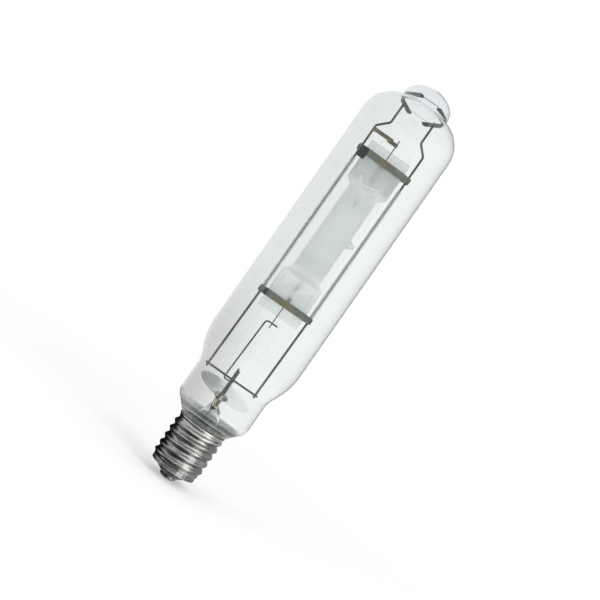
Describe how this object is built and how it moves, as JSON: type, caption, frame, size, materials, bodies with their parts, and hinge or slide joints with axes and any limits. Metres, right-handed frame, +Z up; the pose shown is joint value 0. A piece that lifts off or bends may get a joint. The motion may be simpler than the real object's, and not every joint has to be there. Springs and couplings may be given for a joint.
{
  "type": "metal halide lamp",
  "caption": "Tubular metal halide lamp: quartz arc tube clamped to a wire frame in a clear glass bulb, on a large screw cap.",
  "frame": {"origin": "on the lamp's axis, at the flat foot of the centre contact", "axes": "+Z up the lamp's axis to the crown, +X across the frame's two side rods, -Y to the front"},
  "size_m": [0.076, 0.076, 0.345],
  "materials": {
    "clear_glass": "clear, thin blown wall, glossy",
    "lead_glass": "clear pressed glass, glossy",
    "quartz_tube": "drawn quartz tube, glossy",
    "arc_quartz": "fused quartz, slightly hazy, glossy",
    "mica": "thin clear sheet, glossy",
    "nickel_shell": "nickel-plated brass sheet, bright",
    "cap_glass": "dark pressed glass, glossy",
    "contact_metal": "nickel-plated brass, satin",
    "solder": "tin solder, satin",
    "cement": "baked capping cement, matte",
    "lead_wire": "nickel wire, satin",
    "seal_wire": "oxidised copper-clad wire sealed in glass",
    "frame_metal": "drawn steel wire, satin",
    "strap_metal": "rolled steel strip, satin, heat-tinted",
    "ribbon_metal": "rolled nickel strip, satin",
    "spring_metal": "spring steel strip, satin",
    "getter_metal": "pressed powder block, matte black",
    "tungsten": "tungsten, matte",
    "molybdenum": "drawn molybdenum, satin"
  },
  "bodies": {
    "root": {"outer_bulb": "clear_glass", "glass_stem": "lead_glass", "exhaust_tube": "lead_glass", "rod_sleeve_left": "quartz_tube", "rod_sleeve_right": "quartz_tube", "arc_tube": "arc_quartz", "heat_disc": "mica", "screw_shell": "nickel_shell", "cap_insulator": "cap_glass", "centre_contact": "contact_metal", "contact_solder": "solder", "rim_solder": "solder", "cement_ring": "cement", "contact_wire": "lead_wire", "rim_wire": "lead_wire", "front_seal_wire": "seal_wire", "back_seal_wire": "seal_wire", "front_stem_lead": "frame_metal", "back_stem_lead": "frame_metal", "frame_crossbar": "frame_metal", "frame_rod_left": "frame_metal", "frame_rod_right": "frame_metal", "riser_wire": "frame_metal", "lower_clamp_front": "strap_metal", "lower_clamp_back": "strap_metal", "upper_clamp_front": "strap_metal", "upper_clamp_back": "strap_metal", "upper_link_strip": "ribbon_metal", "upper_link_tab": "ribbon_metal", "crown_spring_left": "spring_metal", "crown_spring_right": "spring_metal", "crown_tie_wire": "lead_wire", "getter": "getter_metal", "lower_electrode": "tungsten", "upper_electrode": "tungsten", "lower_foil": "molybdenum", "upper_foil": "molybdenum", "lower_lead": "molybdenum", "upper_lead": "molybdenum"}
  },
  "joints": []
}
